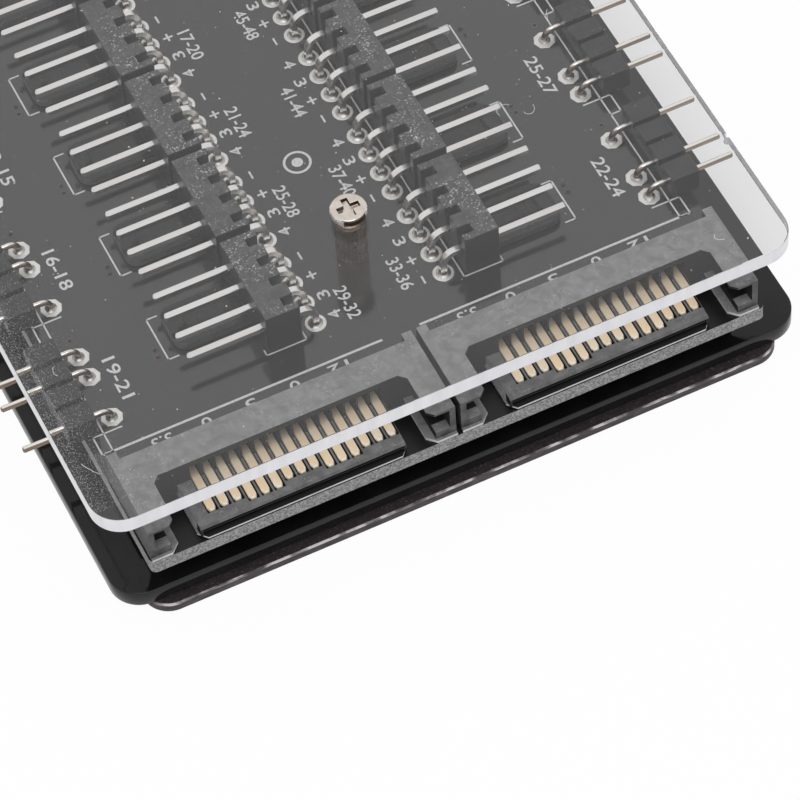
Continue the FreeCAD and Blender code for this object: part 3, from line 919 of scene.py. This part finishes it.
def dust():
    """Specks all over the cover, and a haze of them along its left edge."""
    work = bmesh.new()

    def anywhere():
        return random.uniform(-33.5, 34), random.uniform(1.5, 110)

    def left_edge():
        return -34.1 + abs(random.gauss(0, 2.1)), random.uniform(2.5, 110)

    def inside():
        return random.uniform(-33, 33), random.uniform(2, 108)

    flecks(work, 900, anywhere, 0.02, 0.055)
    flecks(work, 14000, left_edge, 0.016, 0.027)
    flecks(work, 60, inside, 0.06, 0.1)
    piece("cover_dust", work, "cover_plate", LINT)


def fibres():
    """Curled hairs; each place is (out, back, length)."""
    work = bmesh.new()
    places = ((18.6, 27.2, 2.2), (20.6, 26.2, 2.0), (-33.0, 8.0, 2.0), (-31.0, 19.0, 1.2),
              (27.0, 36.0, 1.6), (4.5, 45.0, 1.5), (12.0, 70.0, 2.0), (-14.0, 84.0, 1.8),
              (28.8, 3.9, 1.4), (-9.0, 58.0, 1.6), (24.0, 92.0, 2.2))
    for out, back, length in places:
        heading = random.uniform(0, 2 * pi)
        curl = random.uniform(-0.5, 0.5)
        here = spot(out, back, COVER_TOP + 0.02)
        for _ in range(8):
            step = Vector((cos(heading), sin(heading), 0)) * length * MM / 8
            turn = Matrix.Rotation(heading, 4, "Z")
            size = Matrix.Diagonal((step.length * 1.1, 0.045 * MM, 0.02 * MM, 1))
            middle = Matrix.Translation(here + step / 2)
            bmesh.ops.create_cube(work, size=1.0, matrix=middle @ turn @ size)
            here = here + step
            heading += curl + random.uniform(-0.25, 0.25)
    piece("cover_fibres", work, "cover_plate", LINT)


dust()
fibres()


# Floor, light and camera

def floor():
    material = finish("pale_floor", (0.93, 0.93, 0.93), 0.9)
    shader = shader_of(material)
    path = node(material, "ShaderNodeLightPath")
    white = node(material, "ShaderNodeEmission")
    shares = []
    for ray, value in (("Is Camera Ray", 0.96), ("Is Transmission Ray", 0.3), ("Is Glossy Ray", 0.3)):
        share = node(material, "ShaderNodeMath", operation="MULTIPLY")
        share.inputs[1].default_value = value
        link(material, path.outputs[ray], share.inputs[0])
        shares.append(share.outputs[0])
    while len(shares) > 1:
        most = node(material, "ShaderNodeMath", operation="MAXIMUM")
        link(material, shares.pop(), most.inputs[0])
        link(material, shares.pop(), most.inputs[1])
        shares.append(most.outputs[0])
    mix = node(material, "ShaderNodeMixShader")
    link(material, shares[0], mix.inputs["Fac"])
    link(material, shader.outputs["BSDF"], mix.inputs[1])
    link(material, white.outputs["Emission"], mix.inputs[2])
    link(material, mix.outputs["Shader"], material.node_tree.nodes["Material Output"].inputs["Surface"])
    work = bmesh.new()
    bmesh.ops.create_grid(work, x_segments=1, y_segments=1, size=2.0,
                          matrix=Matrix.Translation((0, 0, -0.02 * MM)))
    mesh = bpy.data.meshes.new("floor")
    work.to_mesh(mesh)
    work.free()
    mesh.materials.append(material)
    made = bpy.data.objects.new("floor", mesh)
    bpy.context.collection.objects.link(made)


def sky():
    world = bpy.data.worlds.new("studio")
    bpy.context.scene.world = world
    world.use_nodes = True
    tree = world.node_tree
    background = tree.nodes["Background"]
    background.inputs["Color"].default_value = (1, 1, 1, 1)
    path = tree.nodes.new("ShaderNodeLightPath")
    level = tree.nodes.new("ShaderNodeMapRange")
    level.inputs["To Min"].default_value = 0.76
    level.inputs["To Max"].default_value = 1.0
    tree.links.new(path.outputs["Is Camera Ray"], level.inputs["Value"])
    tree.links.new(level.outputs["Result"], background.inputs["Strength"])


def lamp(name, place, target, size, watts):
    data = bpy.data.lights.new(name, "AREA")
    data.size = size
    data.energy = watts
    made = bpy.data.objects.new(name, data)
    made.location = place
    made.rotation_euler = (Vector(target) - Vector(place)).to_track_quat("-Z", "Y").to_euler()
    bpy.context.collection.objects.link(made)


def camera():
    data = bpy.data.cameras.new("camera")
    data.sensor_width = SENSOR_WIDTH
    data.lens = LENS_IN_PIXELS * SENSOR_WIDTH / PICTURE_WIDTH
    data.clip_start = 0.01
    made = bpy.data.objects.new("camera", data)
    right = Vector(CAMERA_RIGHT)
    forward = Vector(CAMERA_FORWARD)
    up = right.cross(forward)
    frame_of_view = Matrix((right, up, -forward)).transposed().to_4x4()
    made.matrix_world = Matrix.Translation(CAMERA_PLACE) @ frame_of_view
    bpy.context.collection.objects.link(made)
    bpy.context.scene.camera = made


floor()
sky()
lamp("top_softbox", SOFTBOX_PLACE, (0, 0, 0), SOFTBOX_SIZE, SOFTBOX_WATTS)
camera()
bpy.context.scene.view_settings.view_transform = "Standard"
